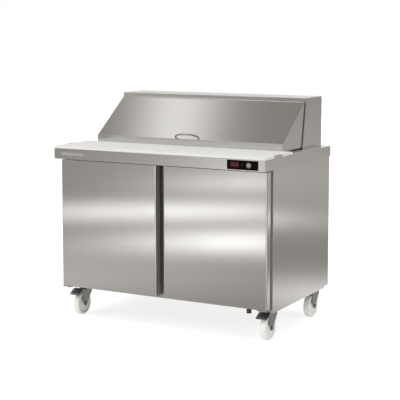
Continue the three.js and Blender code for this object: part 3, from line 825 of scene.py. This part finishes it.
# A bow-shaped bar that stands on the lid's face.
def handle():
    low, high = edges_of("lid_handle")
    out = Vector((0.0, -LID_SLOPE.z, LID_SLOPE.y))
    foot = Vector((0.0, edges_of("lid_shell")[0].y, LID_FACE_FOOT)) + LID_SLOPE * 11 * MM
    half = (high.x - low.x) / 2 - 3.4 * MM
    left = [(-share, height) for share, height in BOW]
    path = [
        foot + Vector((half * share, 0.0, 0.0)) + out * height * MM
        for share, height in (*left, BOW_TOP, *reversed(BOW))
    ]
    bm = bmesh.new()
    tube(bm, bent(path, 16 * MM, 5), 3.6 * MM, LID_SLOPE, 24, breadth=1.75)
    replace("lid_handle", "lid_handle_bow", bm, "chrome")


# The fixed knuckles reach from the inner to the middle distance and from the outer distance
# outwards, measured from the middle of the table.
KNUCKLE_INNER = 61 * MM
KNUCKLE_MIDDLE = 339 * MM
KNUCKLE_OUTER = 461 * MM
KNUCKLE_BORE = 3.1 * MM
KNUCKLE_RADIUS = 5.0 * MM


# Fixed knuckles of the lid hinge, between the ones of the lid.
def hinge_knuckles():
    reach = edges_of("lid_hinge")[1].x
    joints = frame["record"]["behaviour"]["joints"]
    axis = next(j["pos_m"] for j in joints if j["name"] == "lid_hinge")
    bm = bmesh.new()
    for start, end in (
        (-reach, -KNUCKLE_OUTER), (-KNUCKLE_MIDDLE, -KNUCKLE_INNER),
        (KNUCKLE_INNER, KNUCKLE_MIDDLE), (KNUCKLE_OUTER, reach),
    ):
        profile = (
            (KNUCKLE_BORE, start), (KNUCKLE_RADIUS, start),
            (KNUCKLE_RADIUS, end), (KNUCKLE_BORE, end),
        )
        lathe(bm, profile, "x", (0.0, axis[1], axis[2]), 32, closed=True)
    finish("lid_hinge_knuckles", bm, "steel_x", "cabinet")


# ---------------------------------------------------------------- pans and shelves

# Half sizes, corner radius and height above the bottom of one pan in mm, from inside up and out.
PAN_RINGS = (
    (50.0, 121.0, 14.0, 1.2), (66.0, 137.0, 20.0, 1.6), (72.5, 143.5, 22.0, 5.0),
    (75.5, 146.5, 23.0, 12.0), (78.4, 148.9, 23.0, 120.0), (78.6, 149.1, 23.0, 146.0),
    (79.6, 150.1, 23.4, 149.2), (81.5, 152.5, 22.0, 150.0), (86.8, 161.3, 14.0, 150.0),
    (88.0, 162.5, 14.0, 149.4), (88.0, 162.5, 14.0, 148.6), (81.2, 152.0, 24.0, 148.6),
    (80.0, 150.5, 24.0, 147.0), (79.8, 150.3, 24.0, 120.0), (76.7, 147.7, 24.0, 12.0),
    (73.6, 144.6, 23.0, 3.8), (66.5, 137.5, 20.0, 0.2), (50.0, 121.0, 14.0, 0.0),
)


def pan(number):
    node = f"pan_{number}"
    low, high = edges_of(node)
    centre = Vector(((low.x + high.x) / 2, (low.y + high.y) / 2, low.z))
    bm = bmesh.new()
    rings = []
    for half_x, half_y, radius, height in PAN_RINGS:
        points = rounded(-half_x, half_x, -half_y, half_y, radius, steps=8)
        rings.append([centre + Vector((a, b, height)) * MM for a, b in points])
    loft(bm, rings)
    replace(node, f"{node}_drawn", bm, "pan")


SHELF_BAR = 4 * MM
SHELF_WIRE = 2.6 * MM
SHELF_WIRES = 17


# A round bar bent into a frame, a cross bar, and wires over them that turn down at both ends.
def shelf(side):
    node = f"shelf_{side}"
    low, high = edges_of(node)
    rail = low.z + SHELF_BAR
    left, right = low.x + SHELF_BAR, high.x - SHELF_BAR
    front, rear = low.y + SHELF_BAR, high.y - SHELF_BAR
    bm = bmesh.new()
    corners = [(left, front, rail), (right, front, rail), (right, rear, rail), (left, rear, rail)]
    start = (Vector(corners[0]) + Vector(corners[1])) / 2
    loop = bent([start] + corners[1:] + corners[:1] + [start], 12 * MM)
    tube(bm, loop[:-1], SHELF_BAR, (0, 0, 1), 10, closed=True)
    y = (low.y + high.y) / 2
    tube(bm, [(left, y, rail), (right, y, rail)], SHELF_BAR * 0.9, (0, 0, 1))
    margin = 28 * MM
    foot = rail + 1 * MM
    top = high.z - SHELF_WIRE
    for i in range(SHELF_WIRES):
        x = low.x + margin + (high.x - low.x - 2 * margin) * i / (SHELF_WIRES - 1)
        path = [
            (x, front, foot), (x, front + 0.5 * MM, top),
            (x, rear - 0.5 * MM, top), (x, rear, foot),
        ]
        tube(bm, bent(path, 4 * MM, 4), SHELF_WIRE, (1, 0, 0), 8)
    replace(node, f"{node}_wire", bm, "zinc")


GUARD_RINGS = 6


# Rings in front of the evaporator fan, on four arms that turn back to the evaporator.
def fan_guard():
    low, high = edges_of("evaporator_fan")
    centre = middle("evaporator_fan")
    front = low.y - 5 * MM
    reach = (high.x - low.x) / 2 + 4 * MM

    def around(radius, turn, y):
        return (centre.x + radius * math.cos(turn), y, centre.z + radius * math.sin(turn))

    bm = bmesh.new()
    for i in range(GUARD_RINGS):
        radius = reach * (i + 1) / GUARD_RINGS
        ring = [around(radius, 2.0 * math.pi * k / 40, front) for k in range(40)]
        tube(bm, ring, 1.3 * MM, (0, 1, 0), 6, closed=True)
    behind = front + 2 * MM
    for i in range(4):
        turn = math.radians(45 + 90 * i)
        path = [
            around(10 * MM, turn, behind), around(reach, turn, behind),
            around(reach, turn, high.y + 10 * MM),
        ]
        tube(bm, path, 1.6 * MM, (-math.sin(turn), 0, math.cos(turn)), 6)
    finish("evaporator_fan_guard", bm, "enamel", "cabinet")


BEND_PITCH = 36 * MM
BEND_RADIUS = 9 * MM


# Copper return bends on the ends of a finned coil.
def coil_bends(node):
    low, high = edges_of(node)
    y = (low.y + high.y) / 2
    bm = bmesh.new()
    rows = int((high.z - low.z - 30 * MM) / BEND_PITCH)
    for x, way in ((low.x, -1.0), (high.x, 1.0)):
        inside = x - way * 3 * MM
        for i in range(rows):
            z = low.z + 22 * MM + i * BEND_PITCH
            points = [(inside, y, z)]
            for k in range(9):
                turn = math.pi * k / 8
                reach = 4 * MM + BEND_RADIUS * math.sin(turn)
                points.append((x + way * reach, y, z + BEND_RADIUS - BEND_RADIUS * math.cos(turn)))
            points.append((inside, y, z + 2 * BEND_RADIUS))
            tube(bm, points, 4.4 * MM, (0, 1, 0), 10)
    finish(f"{node}_bends", bm, "copper", "cabinet")


# ---------------------------------------------------------------- screws and louvres

# Middles of the louvres across the rear panel, height of the lowest row and pitch, in mm.
LOUVRE_PLACES = (-390, -170, 110, 330)
LOUVRE_FOOT = 205
LOUVRE_PITCH = 22
LOUVRE_HALF = 86
# Section of a louvre in mm: distance behind the panel, height above the foot of its slot.
LOUVRE_SECTION = ((0.0, 10.8), (2.9, 6.2), (2.9, 5.4), (2.3, 5.4), (-1.2, 10.0))


def louvres(rear):
    bm = bmesh.new()
    for row in range(8):
        z = LOUVRE_FOOT + row * LOUVRE_PITCH
        points = [(rear + a * MM, (z + b) * MM) for a, b in LOUVRE_SECTION]
        for x in LOUVRE_PLACES:
            prism(bm, "x", points, (x - LOUVRE_HALF) * MM, (x + LOUVRE_HALF) * MM)
    finish("rear_louvres", bm, "sheet", "cabinet", 0.2 * MM)


SCREW_RADIUS = 4.2 * MM
# Section of a screw head with its socket: radius and height in shares of its radius.
SCREW_SECTION = ((1.0, 0.0), (1.0, 0.25), (0.82, 0.45), (0.5, 0.52), (0.42, 0.52), (0.40, 0.20))


def screw(bm, x, y, z):
    profile = [(SCREW_RADIUS * a, SCREW_RADIUS * b) for a, b in SCREW_SECTION]
    lathe(bm, profile, "y", (x, y, z), 20)


def rear_details():
    low, high = edges_of("rear_panel")
    louvres(high.y)
    foot = low.z + 20 * MM
    screws = bmesh.new()
    for x in (-578 * MM, 578 * MM):
        for i in range(7):
            screw(screws, x, high.y, foot + 110 * MM * i)
    for i in range(6):
        screw(screws, (-460 + 184 * i) * MM, high.y, foot)
    hood_low, hood_high = edges_of("hood_shell")
    for i in range(5):
        x = (hood_high.x - 40 * MM) * (i - 2) / 2
        screw(screws, x, hood_high.y, hood_low.z + 14 * MM)
    finish("rear_screws", screws, "zinc", "cabinet")


# Washer and hexagon head of a caster bolt: radius and height in mm.
WASHER = ((7.4, 0.0), (7.4, -0.8), (6.3, -0.9))
BOLT_HEAD = ((6.2, -0.8), (6.2, -4.6), (5.4, -5.2))
DRAIN_NUT = ((13.1, 0.0), (20.0, 0.0), (20.0, -5.0), (18.5, -6.5), (13.1, -6.5))


def under_details():
    bolts = bmesh.new()
    for corner in CORNERS:
        node = f"caster_{corner}_plate"
        centre = middle(node)
        base = edges_of(node)[1].z - 3.3 * MM
        for dx in (-31, 31):
            for dy in (-39, 39):
                place = (centre.x + dx * MM, centre.y + dy * MM, base)
                lathe(bolts, in_metres(WASHER), "z", place, 24)
                lathe(bolts, in_metres(BOLT_HEAD), "z", place, 6)
    finish("caster_bolts", bolts, "zinc", "cabinet", 0.2 * MM)
    centre = middle("drain_pipe")
    centre.z = edges_of("base_panel")[0].z
    nut = bmesh.new()
    lathe(nut, in_metres(DRAIN_NUT), "z", centre, 12, closed=True)
    finish("drain_nut", nut, "dark", "cabinet", 0.5 * MM)


# ---------------------------------------------------------------- casters

# Radius and half width in mm of a cast nylon wheel with a turned tread.
WHEEL_PROFILE = (
    (6.6, 18.3), (13.0, 18.5), (15.0, 18.0), (16.5, 16.0), (19.0, 11.2), (22.0, 10.2),
    (44.0, 10.2), (46.5, 11.0), (48.5, 14.4), (50.0, 16.4), (52.0, 17.0), (56.5, 17.0),
    (58.4, 16.4), (60.4, 14.2), (61.6, 11.4), (62.2, 8.0), (62.5, 4.0),
)
# Section of a bearing cap in mm: radius, and distance out from the hub.
BEARING_CAP = ((6.5, 0.0), (6.5, 0.9), (11.0, 0.9), (11.8, 0.0))


def wheel(corner):
    node = f"caster_{corner}_wheel"
    centre = middle(node)
    left = [(radius, -width) for radius, width in WHEEL_PROFILE]
    bm = bmesh.new()
    lathe(bm, in_metres([*left, *reversed(WHEEL_PROFILE)]), "x", centre, 96, closed=True)
    replace(node, f"{node}_cast", bm, "nylon")
    caps = bmesh.new()
    for way in (-1, 1):
        place = centre + Vector((way * 18.4 * MM, 0, 0))
        profile = [(radius, way * reach) for radius, reach in BEARING_CAP]
        lathe(caps, in_metres(profile), "x", place, 32, closed=True)
    finish(f"wheel_{corner}_bearings", caps, "zinc", BODY_OF[node])


# Directions up along the sloping tread of a pedal and out of it.
TREAD_ALONG = Vector((0.0, 0.891, 0.454))
TREAD_OUT = Vector((0.0, -0.454, 0.891))
# Section of a rib in mm, along the tread and out of it.
RIB_SECTION = ((-1.7, -0.6), (1.7, -0.6), (1.2, 1.3), (-1.2, 1.3))


def pedal(side):
    node = f"pedal_front_{side}"
    refine(node, "zinc", 0.6 * MM)
    low, high = edges_of(node)
    bm = bmesh.new()
    for i in range(4):
        centre = Vector((0.0, low.y + (14 + 7 * i) * MM, high.z - (16.4 - 3.57 * i) * MM))
        corners = [centre + a * MM * TREAD_ALONG + b * MM * TREAD_OUT for a, b in RIB_SECTION]
        prism(bm, "x", [(c.y, c.z) for c in corners], low.x + 12 * MM, high.x - 12 * MM)
    finish(f"{node}_grip_ribs", bm, "enamel", BODY_OF[node], 0.3 * MM)


def casters():
    for corner in CORNERS:
        refine(f"caster_{corner}_plate", "zinc", 0.5 * MM)
        refine(f"caster_{corner}_fork", "fork", 0.8 * MM)
        wheel(corner)
    for side in SIDES:
        pedal(side)


studio()
finish_cad_nodes()
refine_cad_nodes()
for door in SIDES:
    door_seal(door)
    shelf(door)
edge_strips()
breaker_strip()
controller()
button()
handle()
hinge_knuckles()
for place_number in range(1, 7):
    pan(place_number)
fan_guard()
coil_bends("evaporator")
coil_bends("condenser")
rear_details()
under_details()
casters()
